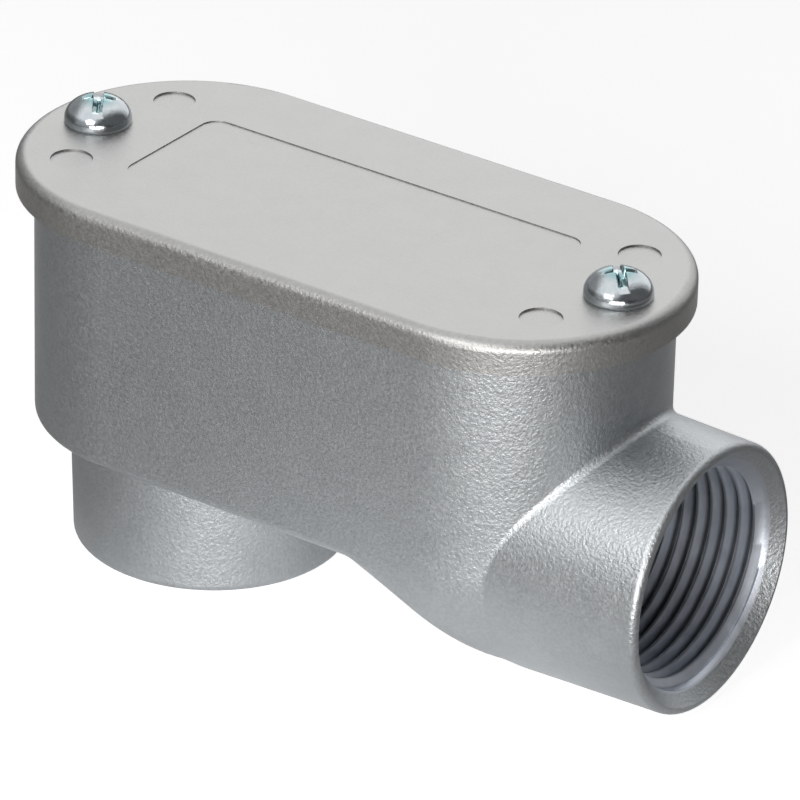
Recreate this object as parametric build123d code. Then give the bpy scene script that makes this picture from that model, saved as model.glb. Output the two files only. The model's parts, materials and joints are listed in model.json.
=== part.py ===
from build123d import *
import os
from math import acos, cos, radians, sin, tan

# A cast aluminium conduit body of the slanted back-and-end form, for 3/4-inch threaded conduit.
# One hub leaves the underside near one end, the other leaves the opposite end, and a gasketed cover
# with two screws closes the long opening on top.
# The origin is the centre of the bottom hub's face. +Z points up to the cover, and +X to the side hub.
# Sizes are in millimetres and degrees.

os.makedirs("parts", exist_ok=True)

# Conduit thread, the same in both hubs, drawn as a plain bore at the root of the thread
thread_pitch = 25.4 / 14
thread_turns = 7.5
thread_root_radius = 13.1

# Smooth bushing at the inner end of each hub, which saves the wires from the edge of the conduit
bushing_ledge = 2.9
bushing_round = 0.9
bottom_bushing_length = 2.6
side_bushing_length = 2.4

# Hubs: walls are measured at the faces, and both hubs widen towards their roots.
# The side hub's thread starts in a wide cone, which leaves a narrow land inside its rounded rim.
bottom_hub_wall = 2.4
side_hub_wall = 2.1
side_hub_overhang = 9.2
hub_draft = 1.5
hub_rim_round = 0.8
side_hub_land = 0.1
hub_root_fillet = 0.9

# Box of the casting
body_length = 77.2
body_wall = 2.4
box_height = 28.8
box_beyond_hub = 2.45
bottom_hub_inset = 20.4
bottom_edge_round = 1.2
floor_edge_round = 1.5

# Curved ramp under the box, between the two hubs
ramp_end_to_mouth = 15.6
ramp_start_angle = 22.0
ramp_radius = 54.0
ramp_start_round = 4.0

# Cover and gasket
cover_end_overhang = 2.2
cover_side_overhang = 1.45
cover_plate = 1.9
cover_skirt_drop = 1.8
cover_edge_round = 1.2
cover_clearance = 0.3
gasket_thickness = 0.8
gasket_margin = 0.3

# Shallow marks that the casting die leaves on the cover's top: a long field and four round pin marks
field_length = 49.8
field_width = 16.9
field_corner = 2.0
field_depth = 0.12
pin_mark_radius = 2.35
pin_mark_inset = 7.7
pin_mark_spread = 18.6
pin_mark_depth = 0.2

# Cover screws, number 8 round heads with a slot and a cross recess
screw_inset = 4.2
screw_radius = 2.08
screw_length = 12.7
screw_clearance = 0.05
screw_head_radius = 3.75
screw_head_height = 3.0
screw_head_rim = 0.45
slot_width = 1.15
slot_depth = 1.2
recess_width = 0.9
recess_reach = 2.0
recess_depth = 1.9
recess_taper = 12.0
left_slot_angle = -55.0
right_slot_angle = -47.0
boss_wall = 1.47
boss_hole_spare = 1.0
cover_hole_clearance = 0.32

# Sizes that follow from the thread
thread_length = thread_turns * thread_pitch
bushing_radius = thread_root_radius - bushing_ledge
bottom_hub_face_radius = thread_root_radius + bottom_hub_wall
side_hub_mouth_radius = thread_root_radius + side_hub_wall
mouth_chamfer = side_hub_wall - hub_rim_round - side_hub_land
end_radius = side_hub_mouth_radius + box_beyond_hub
body_width = 2 * end_radius
cover_length = body_length + 2 * cover_end_overhang
cover_width = body_width + 2 * cover_side_overhang
boss_hole_radius = screw_radius + screw_clearance
boss_radius = boss_hole_radius + boss_wall

# Levels above the bottom hub's face
box_floor = thread_length + bottom_bushing_length
box_bottom = box_floor - body_wall
box_rim = box_bottom + box_height
gasket_top = box_rim + gasket_thickness
cover_top = gasket_top + cover_plate
screw_tip = cover_top - screw_length

# Places along X
left_end = -bottom_hub_inset
right_end = left_end + body_length
box_centre = (left_end + right_end) / 2
left_end_centre = left_end + end_radius
right_end_centre = right_end - end_radius
mouth_x = right_end + side_hub_overhang
shoulder_x = mouth_x - thread_length
bushing_x = shoulder_x - side_bushing_length
left_screw_x = left_end + screw_inset
right_screw_x = right_end - screw_inset

# The ramp ends where the side hub's underside reaches the level of the bottom hub's face
ramp_end_x = mouth_x - ramp_end_to_mouth
hub_flare = tan(radians(hub_draft))
side_hub_axis = side_hub_mouth_radius + ramp_end_to_mouth * hub_flare

# Arc of the ramp: its centre lies below the box, outside the casting
ramp_centre_z = box_bottom - ramp_radius * cos(radians(ramp_start_angle))
ramp_end_angle = acos(-ramp_centre_z / ramp_radius)
ramp_centre_x = ramp_end_x - ramp_radius * sin(ramp_end_angle)


def stadium(length, width, z):
    """A straight-sided outline with round ends, centred on the box at height z."""
    return Plane.XY.offset(z) * Pos(box_centre, 0) * SlotOverall(length, width)


def post(x, bottom, top, radius):
    """A plain upright cylinder on the middle plane, between two heights."""
    return extrude(Plane.XY.offset(bottom) * Pos(x, 0) * Circle(radius), top - bottom)


def bar(start_x, end_x, radius):
    """A plain cylinder on the side hub's axis, between two places along X."""
    start = Plane(origin=(start_x, 0, side_hub_axis), x_dir=(0, 1, 0), z_dir=(1, 0, 0))
    return extrude(start * Circle(radius), end_x - start_x)


def above_bottom(lift, start_round):
    """The space above the casting's underside raised by lift: the flat, the ramp, and a level below all."""
    radius = ramp_radius + lift
    flat = box_bottom + lift
    base = lift - body_wall
    start_angle = acos((flat - ramp_centre_z) / radius)
    end_angle = acos((base - ramp_centre_z) / radius)
    points = []
    for angle in (start_angle, (start_angle + end_angle) / 2, end_angle):
        points.append((ramp_centre_x + radius * sin(angle), ramp_centre_z + radius * cos(angle)))
    start, middle, end = points
    near_x = left_end - body_wall
    far_x = mouth_x + body_wall
    with BuildSketch(Plane.XZ) as profile:
        with BuildLine():
            ThreePointArc(start, middle, end)
            Polyline(end, (far_x, base), (far_x, box_rim), (near_x, box_rim), (near_x, flat), start)
        make_face()
        corner = profile.vertices().sort_by_distance(Vector(start[0], 0, start[1]))[0]
        fillet(corner, start_round)
    return extrude(profile.sketch, body_width, both=True)


def long_round_form(inset):
    """A box with round ends on top of a bar with ball ends, all inset from the casting's outside."""
    radius = end_radius - inset
    form = extrude(stadium(body_length - 2 * inset, 2 * radius, side_hub_axis), box_rim - side_hub_axis)
    form += bar(left_end_centre, right_end_centre, radius)
    for x in (left_end_centre, right_end_centre):
        form += Pos(x, 0, side_hub_axis) * Sphere(radius)
    return form


def side_hub():
    """The drafted hub at the end, from inside the box to its mouth, with a rounded rim."""
    length = mouth_x - right_end_centre
    root_radius = side_hub_mouth_radius + length * hub_flare
    hub = Cone(root_radius, side_hub_mouth_radius, length, align=(Align.CENTER, Align.CENTER, Align.MIN))
    hub = Plane(origin=(right_end_centre, 0, side_hub_axis), z_dir=(1, 0, 0)) * hub
    rim = hub.edges().filter_by(GeomType.CIRCLE).sort_by(Axis.X)[-1]
    return hub.fillet(hub_rim_round, [rim])


def bottom_hub():
    """The drafted hub under the box, from its face up into the box's floor, with a rounded rim."""
    length = box_bottom + body_wall / 2
    root_radius = bottom_hub_face_radius + length * hub_flare
    hub = Cone(bottom_hub_face_radius, root_radius, length, align=(Align.CENTER, Align.CENTER, Align.MIN))
    rim = hub.edges().filter_by(GeomType.CIRCLE).sort_by(Axis.Z)[0]
    return hub.fillet(hub_rim_round, [rim])


def mouth_bevel():
    """The cone that leads into the side hub's thread, from the bore out to the land on its rim."""
    start = Plane(origin=(mouth_x - mouth_chamfer, 0, side_hub_axis), z_dir=(1, 0, 0))
    rim_radius = thread_root_radius + mouth_chamfer
    return start * Cone(thread_root_radius, rim_radius, mouth_chamfer, align=(Align.CENTER, Align.CENTER, Align.MIN))


def casting_outside():
    """The casting as one closed form, before its hollows."""
    box = long_round_form(0)
    hub = side_hub()
    form = box + hub
    form = form.fillet(hub_root_fillet, new_edges(box, hub, combined=form))
    space = above_bottom(0, ramp_start_round)
    trimmed = form & space
    trimmed = trimmed.fillet(bottom_edge_round, new_edges(form, space, combined=trimmed))
    return trimmed + bottom_hub()


def wiring_chamber():
    """The hollow of the box, which runs down the ramp to the side hub and leaves room for the bosses."""
    form = long_round_form(body_wall)
    space = above_bottom(body_wall, ramp_start_round + body_wall)
    chamber = form & space
    chamber = chamber.fillet(floor_edge_round, new_edges(form, space, combined=chamber))
    chamber -= bar(bushing_x, mouth_x, thread_root_radius + body_wall)
    above_throat = side_hub_axis + thread_root_radius
    for x, end_x, foot in ((left_screw_x, left_end, box_bottom), (right_screw_x, right_end, above_throat)):
        chamber -= post(x, foot, box_rim, boss_radius)
        web = Box(abs(end_x - x), 2 * boss_radius, box_rim - foot, align=(Align.CENTER, Align.CENTER, Align.MIN))
        chamber -= Pos((x + end_x) / 2, 0, foot) * web
    return chamber


def bushing_hollow(length):
    """The hollow of a bushing with both its edges rounded, from the origin up along Z."""
    mouth = bushing_radius + bushing_round
    with BuildSketch(Plane.XZ) as profile:
        with BuildLine():
            Polyline((mouth, length), (0, length), (0, 0), (mouth, 0))
            CenterArc((mouth, bushing_round), bushing_round, 180, 90)
            Line((bushing_radius, bushing_round), (bushing_radius, length - bushing_round))
            CenterArc((mouth, length - bushing_round), bushing_round, 90, 90)
        make_face()
    return revolve(profile.sketch, Axis.Z)


def conduit_body():
    """The casting: a long box with two threaded hubs, their rounded bushings and two screw bosses."""
    body = casting_outside() - wiring_chamber()
    body -= post(0, 0, thread_length, thread_root_radius)
    body -= Pos(0, 0, thread_length) * bushing_hollow(bottom_bushing_length)
    body -= bar(shoulder_x, mouth_x, thread_root_radius) + mouth_bevel()
    inner_end = Plane(origin=(bushing_x, 0, side_hub_axis), z_dir=(1, 0, 0))
    body -= inner_end * bushing_hollow(side_bushing_length)
    for x in (left_screw_x, right_screw_x):
        body -= post(x, screw_tip - boss_hole_spare, box_rim, boss_hole_radius)
    return body


def gasket():
    """A flat ring that covers the casting's rim and its screw bosses."""
    ring = stadium(body_length - 2 * gasket_margin, body_width - 2 * gasket_margin, box_rim)
    ring -= stadium(body_length - 2 * body_wall, body_width - 2 * body_wall, box_rim)
    ring = extrude(ring, gasket_thickness)
    for x in (left_screw_x, right_screw_x):
        ring += post(x, box_rim, gasket_top, boss_radius)
    for x in (left_screw_x, right_screw_x):
        ring -= post(x, box_rim, gasket_top, screw_radius + cover_hole_clearance)
    return ring


def cover():
    """A cast cover with a skirt that drops round the casting's rim."""
    skirt_edge = gasket_top - cover_skirt_drop
    shell = extrude(stadium(cover_length, cover_width, skirt_edge), cover_top - skirt_edge)
    shell = fillet(shell.edges().group_by(Axis.Z)[-1], cover_edge_round)
    pocket_length = body_length + 2 * cover_clearance
    pocket_width = body_width + 2 * cover_clearance
    shell -= extrude(stadium(pocket_length, pocket_width, skirt_edge), cover_skirt_drop)
    for x in (left_screw_x, right_screw_x):
        shell -= post(x, skirt_edge, cover_top, screw_radius + cover_hole_clearance)
    top = Plane.XY.offset(cover_top) * Pos(box_centre, 0)
    shell -= extrude(top * RectangleRounded(field_length, field_width, field_corner), -field_depth)
    for place in GridLocations(body_length - 2 * pin_mark_inset, pin_mark_spread, 2, 2):
        shell -= extrude(top * place * Circle(pin_mark_radius), -pin_mark_depth)
    return shell


def cover_screw(x, slot_angle):
    """A round-head screw with a slot across its dome and a cross recess in the middle."""
    with BuildSketch(Plane.XZ) as profile:
        with BuildLine():
            Polyline(
                (0, screw_head_height), (0, -screw_length), (screw_radius, -screw_length),
                (screw_radius, 0), (screw_head_radius, 0), (screw_head_radius, screw_head_rim),
            )
            EllipticalCenterArc(
                (0, screw_head_rim), screw_head_radius, screw_head_height - screw_head_rim, arc_size=90
            )
        make_face()
    screw = revolve(profile.sketch, Axis.Z)
    top = Plane.XY.offset(screw_head_height)
    slot = extrude(top * Rectangle(2 * screw_head_radius, slot_width), -slot_depth)
    wing = Rectangle(2 * recess_reach, recess_width)
    recess = extrude(top * wing, -recess_depth, taper=recess_taper)
    recess += extrude(top * Rot(0, 0, 90) * wing, -recess_depth, taper=recess_taper)
    screw -= slot + recess
    return Pos(x, 0, cover_top) * Rot(0, 0, slot_angle) * screw


export_step(conduit_body(), "parts/conduit_body.step")
export_step(gasket(), "parts/gasket.step")
export_step(cover(), "parts/cover.step")
export_step(cover_screw(left_screw_x, left_slot_angle), "parts/cover_screw_left.step")
export_step(cover_screw(right_screw_x, right_slot_angle), "parts/cover_screw_right.step")
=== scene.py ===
import math

import bmesh
import bpy
from mathutils import Matrix, Vector
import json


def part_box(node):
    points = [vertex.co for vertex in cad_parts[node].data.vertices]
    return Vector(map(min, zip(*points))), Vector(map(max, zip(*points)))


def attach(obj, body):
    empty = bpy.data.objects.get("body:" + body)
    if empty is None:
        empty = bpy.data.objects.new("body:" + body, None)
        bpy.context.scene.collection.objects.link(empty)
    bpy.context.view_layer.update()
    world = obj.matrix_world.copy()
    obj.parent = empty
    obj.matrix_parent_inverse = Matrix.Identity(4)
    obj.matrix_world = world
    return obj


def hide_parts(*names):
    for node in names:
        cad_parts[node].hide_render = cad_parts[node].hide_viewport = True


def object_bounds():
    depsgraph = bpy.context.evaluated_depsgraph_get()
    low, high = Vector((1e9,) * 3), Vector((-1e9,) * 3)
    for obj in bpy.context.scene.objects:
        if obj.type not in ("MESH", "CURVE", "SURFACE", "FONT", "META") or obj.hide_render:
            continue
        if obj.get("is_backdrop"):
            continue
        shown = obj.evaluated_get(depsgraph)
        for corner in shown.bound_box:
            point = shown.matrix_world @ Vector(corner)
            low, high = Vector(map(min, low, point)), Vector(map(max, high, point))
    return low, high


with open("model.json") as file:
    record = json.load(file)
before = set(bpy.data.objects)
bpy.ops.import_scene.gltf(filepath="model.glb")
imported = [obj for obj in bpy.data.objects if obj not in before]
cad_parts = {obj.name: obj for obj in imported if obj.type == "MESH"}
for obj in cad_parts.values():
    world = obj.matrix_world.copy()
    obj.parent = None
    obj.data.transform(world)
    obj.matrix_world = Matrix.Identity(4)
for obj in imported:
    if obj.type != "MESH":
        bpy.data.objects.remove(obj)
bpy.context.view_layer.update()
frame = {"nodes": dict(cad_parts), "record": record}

MM = 0.001
TOLERANCE = MM / 100
WHITE = (1.0, 1.0, 1.0)
COVER_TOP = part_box("cover")[1][2]

# Conduit thread in both hubs, and the smooth cone that leads into it
THREAD_PITCH = 25.4 / 14 * MM
THREAD_ROOT = 13.06 * MM
THREAD_CREST = 11.9 * MM
THREAD_START = 0.35 * MM
THREAD_RUN_IN = 0.8 * MM
THREAD_SEGMENTS = 120
THREAD_SHARP_ANGLE = 35

# Cover screws, number 8 with 32 turns to the inch
SCREW_PITCH = 25.4 / 32 * MM
SCREW_ROOT = 1.6 * MM
SCREW_CREST = 2.08 * MM
SCREW_LENGTH = 12.7 * MM
SCREW_POINT = 0.7 * MM
SCREW_POINT_RADIUS = 1.3 * MM
SCREW_SEGMENTS = 48
SCREW_SHARP_ANGLE = 30
SCREW_X = {}
for side in ("left", "right"):
    low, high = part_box("cover_screw_" + side)
    SCREW_X[side] = (low[0] + high[0]) / 2
SCREW_MIDDLE = (SCREW_X["left"] + SCREW_X["right"]) / 2
SCREW_SPREAD = (SCREW_X["right"] - SCREW_X["left"]) / 2

# The flats of each thread, by where they lie in one turn
THREAD_FLATS = ((0.07, "root"), (0.43, "crest"), (0.57, "crest"), (0.93, "root"))
SCREW_FLATS = ((0.10, "root"), (0.40, "crest"), (0.55, "crest"), (0.85, "root"))

# Points of a mesh nearer to each other than this are merged
MERGE_IN_THREAD = 2e-6
MERGE_AT_HEAD = 1e-6

# Noises: scale (spots in a metre), detail and roughness. Nearly all of a noise lies between its low and its high.
CAST_TONE = (260, 3, 0.6)
CAST_SPECK = (2600, 2, 0.6)
CAST_PEEL = (2700, 2, 0.5)
CAST_FINE = (6500, 1, 0.5)
THREAD_TONE = (500, 3, 0.6)
THREAD_MARKS = (3200, 2, 0.5)
ZINC_TONE = (900, 3, 0.6)
ZINC_MARKS = (2200, 2, 0.5)
RUBBER_TONE = (700, 3, 0.6)
RUBBER_TOOTH = (5000, 2, 0.5)
NOISE_LOW, NOISE_HIGH = 0.3, 0.7

# Castings: dark and light tone, share that specks shade the tone, grain on the cover's flat top, bump heights
BODY_TONES = ((0.425, 0.446, 0.462), (0.455, 0.476, 0.492))
COVER_TONES = ((0.410, 0.410, 0.405), (0.422, 0.422, 0.417))
SPECK_SHADE = 0.09
CAST_ROUGHNESS, SPECK_ROUGHNESS = 0.45, 0.06
BODY_GRAIN, COVER_GRAIN, FLAT_GRAIN = 1.0, 0.8, 0.25
FLAT_GRAIN_STARTS, FLAT_GRAIN_FULL = 0.5 * MM, 0.1 * MM
PEEL_HEIGHT, FINE_HEIGHT = 0.00007, 0.00002

# Cut threads: tones, roughness, bump strength and height, and painted shade from the grooves (0) up to the ridges (1)
THREAD_TONES = ((0.64, 0.68, 0.75), (0.72, 0.76, 0.83))
THREAD_ROUGHNESS = (0.42, 0.50)
THREAD_BUMP = (0.4, 0.00004)
PAINTED_GROOVE_SHADE = ((0.0, 0.22), (0.4, 1.0), (0.85, 1.0), (1.0, 0.72))

# Zinc plate: tones, roughness, bump, and the painted green-blue reflection in each head's recess: its colour, its
# distance from the screw's axis and its height over the cover
ZINC_TONES = ((0.47, 0.51, 0.54), (0.56, 0.60, 0.62))
ZINC_ROUGHNESS = (0.14, 0.20)
ZINC_BUMP = (0.3, 0.00006)
PAINTED_RECESS_REFLECTION = (0.27, 0.42, 0.44)
PAINTED_REFLECTION_FULL, PAINTED_REFLECTION_ENDS = 1.2 * MM, 2.3 * MM
PAINTED_REFLECTION_HEIGHT_STARTS, PAINTED_REFLECTION_HEIGHT_FULL = 0.5 * MM, 0.9 * MM

# Gasket rubber
RUBBER_TONES = ((0.016, 0.016, 0.017), (0.035, 0.035, 0.036))
RUBBER_ROUGHNESS = 0.75
RUBBER_BUMP = (0.3, 0.00005)

# Camera of the photograph: degrees and metres, azimuth 0 in front and elevation 90 above; lens in millimetres
CAMERA_AZIMUTH, CAMERA_ELEVATION, CAMERA_ROLL = 34.652, 27.865, 1.446
CAMERA_AIM = Vector((0.02836, -0.00475, 0.02698))
CAMERA_DISTANCE = 0.7365
CAMERA_LENS, CAMERA_SENSOR = 308.47, 36.0
CAMERA_CLIP = 0.01

# Lamps: name, (azimuth, elevation, distance), size, power and colour
LAMP_AIM = Vector((0.02, 0.0, 0.03))
LAMPS = (
    ("back_light", (215, 28, 0.9), (0.5, 0.5), 0.5, WHITE),
    ("front_light", (33, 6, 0.7), (0.5, 0.13), 3.3, (1.0, 0.98, 0.96)),
    ("near_light", (5, 38, 0.38), (0.14, 0.14), 0.36, (1.0, 0.98, 0.96)),
)

# World: its strength as light and in the metal, where it changes across the studio and up from the horizon
WORLD_IN_VIEW = 1.0
WORLD_STRENGTH = 0.05
WORLD_IN_METAL = 1.2
ACROSS_STUDIO = (1.0, 0.0, 0.0)
STUDIO_STOPS = ((0.1, 0.3), (0.22, 1.0), (0.58, 1.0), (0.78, 0.12))
RISE_OF_STUDIO = (0.0, 0.45, 1.0)
HORIZON_SHARE, HORIZON_TOP = 0.35, 0.25

# Floor, and its pools of light seen only in the metal: centre, stretch along X, bright and outer radius, strength
FLOOR_HALF = 3.0
FLOOR_COLOUR = (0.93, 0.93, 0.93)
FLOOR_ROUGHNESS, FLOOR_SPECULAR = 0.9, 0.2
FLOOR_GLOW_IN_VIEW = 0.78
POOLS = (
    ((0.034, -0.02), 1.1, (0.012, 0.050), 0.50),
    ((-0.035, 0.08), 1.5, (0.025, 0.08), 0.55),
)


# Shader helpers

def new_material(name, metallic=0.0):
    material = bpy.data.materials.new(name)
    material.use_nodes = True
    nodes = material.node_tree.nodes
    shader = nodes["Principled BSDF"]
    shader.inputs["Metallic"].default_value = metallic
    place = nodes.new("ShaderNodeTexCoord").outputs["Object"]
    return material, nodes, material.node_tree.links, shader, place


def give(links, value, socket):
    """Set a socket to a number, or link it to another socket."""
    if isinstance(value, float):
        socket.default_value = value
    else:
        links.new(value, socket)


def number_step(nodes, links, operation, first, second):
    """One operation on two values, each a number or a socket."""
    node = nodes.new("ShaderNodeMath")
    node.operation = operation
    give(links, first, node.inputs[0])
    give(links, second, node.inputs[1])
    return node.outputs["Value"]


def vector_step(nodes, links, operation, vector, *constants):
    """One operation on a vector, with constant vectors for what else it takes."""
    node = nodes.new("ShaderNodeVectorMath")
    node.operation = operation
    links.new(vector, node.inputs[0])
    for socket, constant in zip(node.inputs[1:], constants):
        socket.default_value = constant
    return node.outputs["Value" if operation in ("DOT_PRODUCT", "LENGTH") else "Vector"]


def split(nodes, links, vector):
    node = nodes.new("ShaderNodeSeparateXYZ")
    links.new(vector, node.inputs["Vector"])
    return node.outputs


def noise(nodes, links, place, settings):
    node = nodes.new("ShaderNodeTexNoise")
    for name, number in zip(("Scale", "Detail", "Roughness"), settings):
        node.inputs[name].default_value = number
    links.new(place, node.inputs["Vector"])
    return node.outputs["Fac"]


def ramp(nodes, links, value, stops):
    node = nodes.new("ShaderNodeValToRGB")
    elements = node.color_ramp.elements
    while len(elements) < len(stops):
        elements.new(0.5)
    for element, (position, colour) in zip(elements, stops):
        element.position = position
        element.color = (*colour, 1.0)
    links.new(value, node.inputs["Fac"])
    return node.outputs["Color"]


def grey_ramp(nodes, links, value, stops):
    return ramp(nodes, links, value, [(position, (level,) * 3) for position, level in stops])


def two_tone(nodes, links, value, tones):
    """A colour that goes with a noise from the dark tone to the light one."""
    dark, light = tones
    return ramp(nodes, links, value, ((NOISE_LOW, dark), (NOISE_HIGH, light)))


def spread(nodes, links, value, low, high, out_low, out_high):
    """Map a value from one range to another, held at both ends; each end is a number or a socket."""
    node = nodes.new("ShaderNodeMapRange")
    for socket, number in (("From Min", low), ("From Max", high), ("To Min", out_low), ("To Max", out_high)):
        give(links, number, node.inputs[socket])
    links.new(value, node.inputs["Value"])
    return node.outputs["Result"]


def spread_noise(nodes, links, value, out_low, out_high):
    return spread(nodes, links, value, NOISE_LOW, NOISE_HIGH, out_low, out_high)


def shaded(nodes, links, colour, value):
    """A colour made lighter or darker by a factor that varies over the surface."""
    node = nodes.new("ShaderNodeHueSaturation")
    links.new(value, node.inputs["Value"])
    links.new(colour, node.inputs["Color"])
    return node.outputs["Color"]


def bump(nodes, links, height, strength, distance, before=None):
    node = nodes.new("ShaderNodeBump")
    give(links, strength, node.inputs["Strength"])
    node.inputs["Distance"].default_value = distance
    links.new(height, node.inputs["Height"])
    if before is not None:
        links.new(before, node.inputs["Normal"])
    return node.outputs["Normal"]


# Materials

def cast_aluminium(name, tones, grain, flat_grain=None):
    """Blasted casting: an even orange-peel grain, finer on the cover's flat top, with slow changes of tone."""
    material, nodes, links, shader, place = new_material(name, 1.0)
    tone = noise(nodes, links, place, CAST_TONE)
    speck = noise(nodes, links, place, CAST_SPECK)
    colour = two_tone(nodes, links, tone, tones)
    shade = spread_noise(nodes, links, speck, 1.0 - SPECK_SHADE, 1.0 + SPECK_SHADE)
    links.new(shaded(nodes, links, colour, shade), shader.inputs["Base Color"])
    rough = spread_noise(nodes, links, speck, CAST_ROUGHNESS - SPECK_ROUGHNESS, CAST_ROUGHNESS + SPECK_ROUGHNESS)
    links.new(rough, shader.inputs["Roughness"])
    strength = grain
    if flat_grain is not None:
        strength = spread(nodes, links, split(nodes, links, place)["Z"],
                          COVER_TOP - FLAT_GRAIN_STARTS, COVER_TOP - FLAT_GRAIN_FULL, grain, flat_grain)
    peel = noise(nodes, links, place, CAST_PEEL)
    fine = noise(nodes, links, place, CAST_FINE)
    normal = bump(nodes, links, peel, strength, PEEL_HEIGHT)
    normal = bump(nodes, links, fine, strength, FINE_HEIGHT, normal)
    links.new(normal, shader.inputs["Normal"])
    return material


def cut_thread():
    """Cut aluminium with fine tool marks, bluer than the casting, with painted shade down in the grooves."""
    material, nodes, links, shader, place = new_material("cut_thread", 1.0)
    tone = noise(nodes, links, place, THREAD_TONE)
    colour = two_tone(nodes, links, tone, THREAD_TONES)
    crest = nodes.new("ShaderNodeAttribute")
    crest.attribute_name = "crest"
    # Painted shade: the colour is darker down in the grooves, by how high each point stands from groove (0) to ridge
    # (1)
    shade = grey_ramp(nodes, links, crest.outputs["Fac"], PAINTED_GROOVE_SHADE)
    links.new(shaded(nodes, links, colour, shade), shader.inputs["Base Color"])
    links.new(spread_noise(nodes, links, tone, *THREAD_ROUGHNESS), shader.inputs["Roughness"])
    marks = noise(nodes, links, place, THREAD_MARKS)
    links.new(bump(nodes, links, marks, *THREAD_BUMP), shader.inputs["Normal"])
    return material


def at_recess(nodes, links, place):
    """Where the painted reflection goes: 1 round the recess of either screw head, 0 elsewhere, from the distance to
    the screw's axis and the height.
    """
    across, depth, height = split(nodes, links, place)
    for operation, number in (("SUBTRACT", SCREW_MIDDLE), ("ABSOLUTE", 0.0), ("SUBTRACT", SCREW_SPREAD)):
        across = number_step(nodes, links, operation, across, number)
    centred = nodes.new("ShaderNodeCombineXYZ")
    links.new(across, centred.inputs["X"])
    links.new(depth, centred.inputs["Y"])
    reach = vector_step(nodes, links, "LENGTH", centred.outputs["Vector"])
    in_head = spread(nodes, links, height, COVER_TOP + PAINTED_REFLECTION_HEIGHT_STARTS, COVER_TOP + PAINTED_REFLECTION_HEIGHT_FULL, 0.0, 1.0)
    return spread(nodes, links, reach, PAINTED_REFLECTION_FULL, PAINTED_REFLECTION_ENDS, in_head, 0.0)


def bright_zinc():
    """Zinc plate on steel: bright, with soft drawing marks and a painted green-blue reflection, darker than the zinc,
    at the recess.
    """
    material, nodes, links, shader, place = new_material("bright_zinc", 1.0)
    tone = noise(nodes, links, place, ZINC_TONE)
    # Painted reflection: a darker green-blue colour mixed in round each head's recess
    painted_reflection_mix = nodes.new("ShaderNodeMix")
    painted_reflection_mix.data_type = "RGBA"
    links.new(at_recess(nodes, links, place), painted_reflection_mix.inputs["Factor"])
    plain, painted_reflection_socket = [socket for socket in painted_reflection_mix.inputs if socket.type == "RGBA"]
    links.new(two_tone(nodes, links, tone, ZINC_TONES), plain)
    painted_reflection_socket.default_value = (*PAINTED_RECESS_REFLECTION, 1.0)
    result, = [socket for socket in painted_reflection_mix.outputs if socket.type == "RGBA"]
    links.new(result, shader.inputs["Base Color"])
    links.new(spread_noise(nodes, links, tone, *ZINC_ROUGHNESS), shader.inputs["Roughness"])
    marks = noise(nodes, links, place, ZINC_MARKS)
    links.new(bump(nodes, links, marks, *ZINC_BUMP), shader.inputs["Normal"])
    return material


def gasket_rubber():
    """Matt black sheet rubber with a fine tooth."""
    material, nodes, links, shader, place = new_material("gasket_rubber")
    tone = noise(nodes, links, place, RUBBER_TONE)
    links.new(two_tone(nodes, links, tone, RUBBER_TONES), shader.inputs["Base Color"])
    shader.inputs["Roughness"].default_value = RUBBER_ROUGHNESS
    tooth = noise(nodes, links, place, RUBBER_TOOTH)
    links.new(bump(nodes, links, tooth, *RUBBER_BUMP), shader.inputs["Normal"])
    return material


# Mesh helpers

def add_object(name, data):
    piece = bpy.data.objects.new(name, data)
    bpy.context.collection.objects.link(piece)
    return piece


def add_piece(name, shape, material, body, sharp_angle):
    """Turn a bmesh into a smooth-shaded piece whose edges above the sharp angle stay crisp."""
    mesh = bpy.data.meshes.new(name)
    shape.to_mesh(mesh)
    shape.free()
    mesh.materials.append(material)
    for polygon in mesh.polygons:
        polygon.use_smooth = True
    mesh.set_sharp_from_angle(angle=math.radians(sharp_angle))
    piece = add_object(name, mesh)
    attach(piece, body)
    return piece


def helix(shape, pitch, length, flats, radius_at, segments):
    """Faces of a thread round Z from 0 to length; radius_at(flat, height) is the radius of its flats."""
    rows = []
    for turn in range(-1, math.ceil(length / pitch) + 1):
        for phase, flat in flats:
            row = []
            for step in range(segments + 1):
                angle = 2 * math.pi * step / segments
                height = min(max(pitch * (turn + phase + step / segments), 0.0), length)
                reach = radius_at(flat, height)
                row.append(shape.verts.new((reach * math.cos(angle), reach * math.sin(angle), height)))
            rows.append(row)
    for low, high in zip(rows, rows[1:]):
        for step in range(segments):
            shape.faces.new((low[step], low[step + 1], high[step + 1], high[step]))
    bmesh.ops.remove_doubles(shape, verts=shape.verts, dist=MERGE_IN_THREAD)
    bmesh.ops.dissolve_degenerate(shape, dist=MERGE_IN_THREAD, edges=shape.edges)


def hub_thread(name, place, bore_radius, length, material):
    """The conduit thread, set into the plain bore that the CAD draws at its root, with a cone at its start."""
    def ridge_radius(height):
        return max(THREAD_CREST, bore_radius - height)

    def radius_at(flat, height):
        if height >= length:
            return THREAD_ROOT
        ridge = ridge_radius(height)
        if flat == "crest":
            return ridge
        deepening = min(1.0, max(0.0, (height - THREAD_START) / THREAD_RUN_IN))
        return ridge + (THREAD_ROOT - ridge) * deepening

    shape = bmesh.new()
    helix(shape, THREAD_PITCH, length, THREAD_FLATS, radius_at, THREAD_SEGMENTS)
    # How high each point stands, from the groove (0) to the ridge (1); it drives the painted shade in the grooves
    crest = shape.verts.layers.float.new("crest")
    for vert in shape.verts:
        depth = vert.co.xy.length - ridge_radius(vert.co.z)
        vert[crest] = 1.0 - depth / (THREAD_ROOT - THREAD_CREST)
    bmesh.ops.reverse_faces(shape, faces=shape.faces)
    bmesh.ops.transform(shape, matrix=place, verts=shape.verts)
    add_piece(name, shape, material, "housing", THREAD_SHARP_ANGLE)


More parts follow.
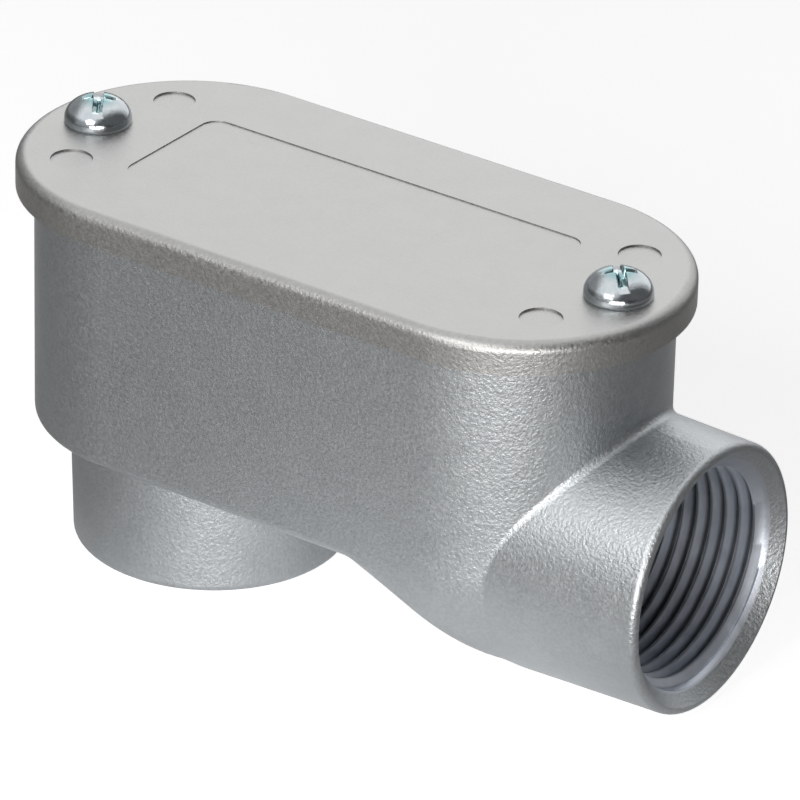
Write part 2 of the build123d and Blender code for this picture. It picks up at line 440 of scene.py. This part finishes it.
def threaded_screw(side, material):
    """A cover screw: its head as the CAD has it, on a shank with its thread cut."""
    name = "cover_screw_" + side

    def radius_at(flat, height):
        point = SCREW_POINT_RADIUS + (SCREW_CREST - SCREW_POINT_RADIUS) * min(1.0, height / SCREW_POINT)
        if flat == "crest" or height >= SCREW_LENGTH:
            return point
        return min(SCREW_ROOT, point)

    shape = bmesh.new()
    helix(shape, SCREW_PITCH, SCREW_LENGTH, SCREW_FLATS, radius_at, SCREW_SEGMENTS)
    tip = [edge for edge in shape.edges if edge.is_boundary and max(vert.co.z for vert in edge.verts) < TOLERANCE]
    bmesh.ops.contextual_create(shape, geom=tip)
    place = Matrix.Translation((SCREW_X[side], 0.0, COVER_TOP - SCREW_LENGTH))
    bmesh.ops.transform(shape, matrix=place, verts=shape.verts)
    shank = set(shape.verts)
    shape.from_mesh(frame["nodes"][name].data)
    plain = [vert for vert in shape.verts if vert not in shank and vert.co.z < COVER_TOP - TOLERANCE]
    bmesh.ops.delete(shape, geom=plain, context="VERTS")
    bmesh.ops.remove_doubles(shape, verts=shape.verts, dist=MERGE_AT_HEAD)
    piece = add_piece("threaded_screw_" + side, shape, material, "screw_" + side,
                      SCREW_SHARP_ANGLE)
    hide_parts(name)


body_finish = cast_aluminium("body_casting_finish", BODY_TONES, BODY_GRAIN)
cover_finish = cast_aluminium("cover_casting_finish", COVER_TONES, COVER_GRAIN, FLAT_GRAIN)
for name, finish in (("conduit_body", body_finish), ("cover", cover_finish), ("gasket", gasket_rubber())):
    for material_slot in frame["nodes"][name].material_slots:
        material_slot.material = finish

thread_finish = cut_thread()
for mount, turn in zip(frame["record"]["mounts"][:2], (0.0, -math.pi / 2)):
    place = Matrix.Translation(mount["pos_m"]) @ Matrix.Rotation(turn, 4, "Y")
    radius, length = mount["dims"]["r_mm"] * MM, mount["dims"]["length_mm"] * MM
    hub_thread(mount["name"] + "_thread", place, radius, length, thread_finish)

zinc = bright_zinc()
for side in ("left", "right"):
    threaded_screw(side, zinc)


# Stage

def in_view_and_in_metal(nodes, links, view, metal, otherwise):
    """A strength that differs for the camera's rays, for mirror rays, and for the rays that light the object."""
    path = nodes.new("ShaderNodeLightPath")
    value = otherwise
    for ray, strength in (("Is Transmission Ray", metal), ("Is Glossy Ray", metal), ("Is Camera Ray", view)):
        mix = nodes.new("ShaderNodeMix")
        links.new(path.outputs[ray], mix.inputs["Factor"])
        give(links, value, mix.inputs["A"])
        give(links, strength, mix.inputs["B"])
        value = mix.outputs["Result"]
    return value


def studio_in_metal(nodes, links):
    """The world's strength in the metal: white above and behind, dark low in front and at both ends of the studio."""
    direction = nodes.new("ShaderNodeTexCoord").outputs["Generated"]
    across = vector_step(nodes, links, "DOT_PRODUCT", direction, ACROSS_STUDIO)
    share = grey_ramp(nodes, links, spread(nodes, links, across, -1.0, 1.0, 0.0, 1.0), STUDIO_STOPS)
    rise = vector_step(nodes, links, "DOT_PRODUCT", direction, RISE_OF_STUDIO)
    risen = spread(nodes, links, rise, 0.0, HORIZON_TOP, HORIZON_SHARE * WORLD_IN_METAL, WORLD_IN_METAL)
    return number_step(nodes, links, "MULTIPLY", share, risen)


def pools_in_metal(nodes, links, place):
    """The floor's strength in the metal: oval pools of light before and behind the object that fade out."""
    glow = 0.0
    for (x, y), stretch, (near, far), strength in POOLS:
        oval = vector_step(nodes, links, "MULTIPLY_ADD", place, (1.0 / stretch, 1.0, 0.0), (-x / stretch, -y, 0.0))
        reach = vector_step(nodes, links, "LENGTH", oval)
        pool = spread(nodes, links, reach, near, far, strength, 0.0)
        glow = number_step(nodes, links, "ADD", glow, pool)
    return glow


def add_floor():
    """A pale floor that keeps the object's shadow, nearly white where the camera sees it."""
    mesh = bpy.data.meshes.new("floor")
    corners = [(x * FLOOR_HALF, y * FLOOR_HALF, 0) for x, y in ((-1, -1), (1, -1), (1, 1), (-1, 1))]
    mesh.from_pydata(corners, [], [(0, 1, 2, 3)])
    piece = add_object("floor", mesh)
    material, nodes, links, shader, place = new_material("pale_floor")
    shader.inputs["Base Color"].default_value = (*FLOOR_COLOUR, 1.0)
    shader.inputs["Roughness"].default_value = FLOOR_ROUGHNESS
    shader.inputs["Specular IOR Level"].default_value = FLOOR_SPECULAR
    shader.inputs["Emission Color"].default_value = (*WHITE, 1.0)
    glow = in_view_and_in_metal(nodes, links, FLOOR_GLOW_IN_VIEW, pools_in_metal(nodes, links, place), 0.0)
    links.new(glow, shader.inputs["Emission Strength"])
    mesh.materials.append(material)
    piece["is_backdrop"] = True


def add_world():
    """White where the camera sees it, softer in the metal, and next to nothing as light."""
    world = bpy.data.worlds.new("world")
    world.use_nodes = True
    nodes, links = world.node_tree.nodes, world.node_tree.links
    background = nodes["Background"]
    background.inputs["Color"].default_value = (*WHITE, 1.0)
    strength = in_view_and_in_metal(nodes, links, WORLD_IN_VIEW, studio_in_metal(nodes, links), WORLD_STRENGTH)
    links.new(strength, background.inputs["Strength"])
    bpy.context.scene.world = world


def towards(azimuth, elevation):
    """The direction from the object to a place, from two angles in degrees."""
    azimuth, elevation = math.radians(azimuth), math.radians(elevation)
    return Vector((math.cos(elevation) * math.sin(azimuth), -math.cos(elevation) * math.cos(azimuth),
                   math.sin(elevation)))


def add_lamp(name, azimuth, elevation, distance, size, power, colour):
    """A soft rectangular lamp that faces the object."""
    place = distance * towards(azimuth, elevation)
    data = bpy.data.lights.new(name, "AREA")
    data.shape = "RECTANGLE"
    data.size, data.size_y = size
    data.energy = power
    data.color = colour
    piece = add_object(name, data)
    piece.location = place
    piece.rotation_euler = (LAMP_AIM - place).to_track_quat("-Z", "Y").to_euler()


def add_camera():
    """The camera of the photograph, found from the object's outlines."""
    back = towards(CAMERA_AZIMUTH, CAMERA_ELEVATION)
    azimuth, roll = math.radians(CAMERA_AZIMUTH), math.radians(CAMERA_ROLL)
    level = Vector((math.cos(azimuth), math.sin(azimuth), 0.0))
    right = level * math.cos(roll) + back.cross(level) * math.sin(roll)
    up = back.cross(right)
    data = bpy.data.cameras.new("camera")
    data.lens = CAMERA_LENS
    data.sensor_width = CAMERA_SENSOR
    data.clip_start = CAMERA_CLIP
    piece = add_object("camera", data)
    turn = Matrix((right, up, back)).transposed().to_4x4()
    piece.matrix_world = Matrix.Translation(CAMERA_AIM + back * CAMERA_DISTANCE) @ turn
    bpy.context.scene.camera = piece


add_floor()
add_world()
add_camera()
for name, (azimuth, elevation, distance), size, power, colour in LAMPS:
    add_lamp(name, azimuth, elevation, distance, size, power, colour)
bpy.context.scene.view_settings.view_transform = "Standard"

low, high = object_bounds()
